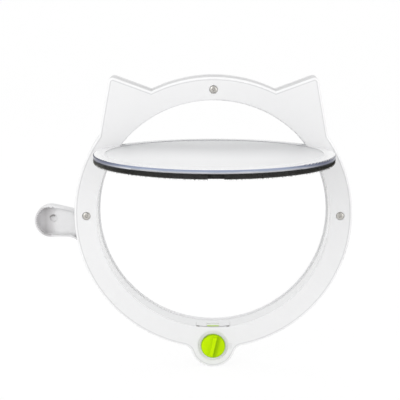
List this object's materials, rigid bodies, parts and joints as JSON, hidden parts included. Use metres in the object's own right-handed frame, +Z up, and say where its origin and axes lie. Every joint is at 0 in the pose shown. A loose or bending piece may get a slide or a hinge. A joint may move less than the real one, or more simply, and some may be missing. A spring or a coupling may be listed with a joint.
{
  "type": "cat flap",
  "caption": "Round cat flap for a door leaf: two cat-eared frames joined through the leaf, a clear round flap on a chord hinge and a turn knob that works two latches.",
  "frame": {"origin": "centre of the round opening, on the room side face", "axes": "+X to the right as seen from the room, +Y from the room side into the door, +Z up"},
  "size_m": [0.2763, 0.1967, 0.2569],
  "materials": {
    "white_plastic": "fine satin moulding",
    "grey_plastic": "satin",
    "bush_plastic": "satin, unpainted",
    "clear_panel": "polished, cloudy clear",
    "black_seal": "satin",
    "knob_plastic": "satin lime green",
    "green_plastic": "satin lime green",
    "zinc_steel": "zinc plated",
    "pin_steel": "ground",
    "brass": "knurled",
    "magnet": "nickel plated"
  },
  "bodies": {
    "frame": {"front_frame": "white_plastic", "rear_frame": "white_plastic", "latch_bezel": "grey_plastic", "lock_cover": "white_plastic", "cover_screw_left": "zinc_steel", "cover_screw_right": "zinc_steel", "hinge_bush_left": "bush_plastic", "hinge_bush_right": "bush_plastic", "screw_top": "zinc_steel", "screw_left": "zinc_steel", "screw_right": "zinc_steel", "insert_top": "brass", "insert_left": "brass", "insert_right": "brass", "frame_magnet_left": "magnet", "frame_magnet_right": "magnet"},
    "flap": {"flap_panel": "clear_panel", "flap_seal_lower": "black_seal", "flap_seal_upper": "black_seal", "hinge_pin_left": "pin_steel", "hinge_pin_right": "pin_steel", "flap_magnet_left": "magnet", "flap_magnet_right": "magnet"},
    "knob": {"lock_knob": "knob_plastic", "lock_pinion": "bush_plastic", "knob_screw": "zinc_steel"},
    "latch_front": {"latch_front": "green_plastic"},
    "latch_rear": {"latch_rear": "green_plastic"}
  },
  "joints": [
    {"name": "flap_swing", "type": "hinge", "parent": "frame", "child": "flap", "pos_m": [0, 0.0105, 0.0575], "axis": [1, 0, 0], "range_deg": [-3, 165]},
    {"name": "knob_turn", "type": "hinge", "parent": "frame", "child": "knob", "pos_m": [0, 0, -0.1171], "axis": [0, -1, 0], "range_deg": [-90, 90]},
    {"name": "latch_front_slide", "type": "slide", "parent": "frame", "child": "latch_front", "axis": [0, 0, 1], "range_m": [-0.00503, 0.00503]},
    {"name": "latch_rear_slide", "type": "slide", "parent": "frame", "child": "latch_rear", "axis": [0, 0, 1], "range_m": [-0.00503, 0.00503]}
  ],
  "couplings": [
    {"joint": "latch_front_slide", "follows": "knob_turn", "m_per_rad": 0.0032},
    {"joint": "latch_rear_slide", "follows": "knob_turn", "m_per_rad": -0.0032}
  ]
}
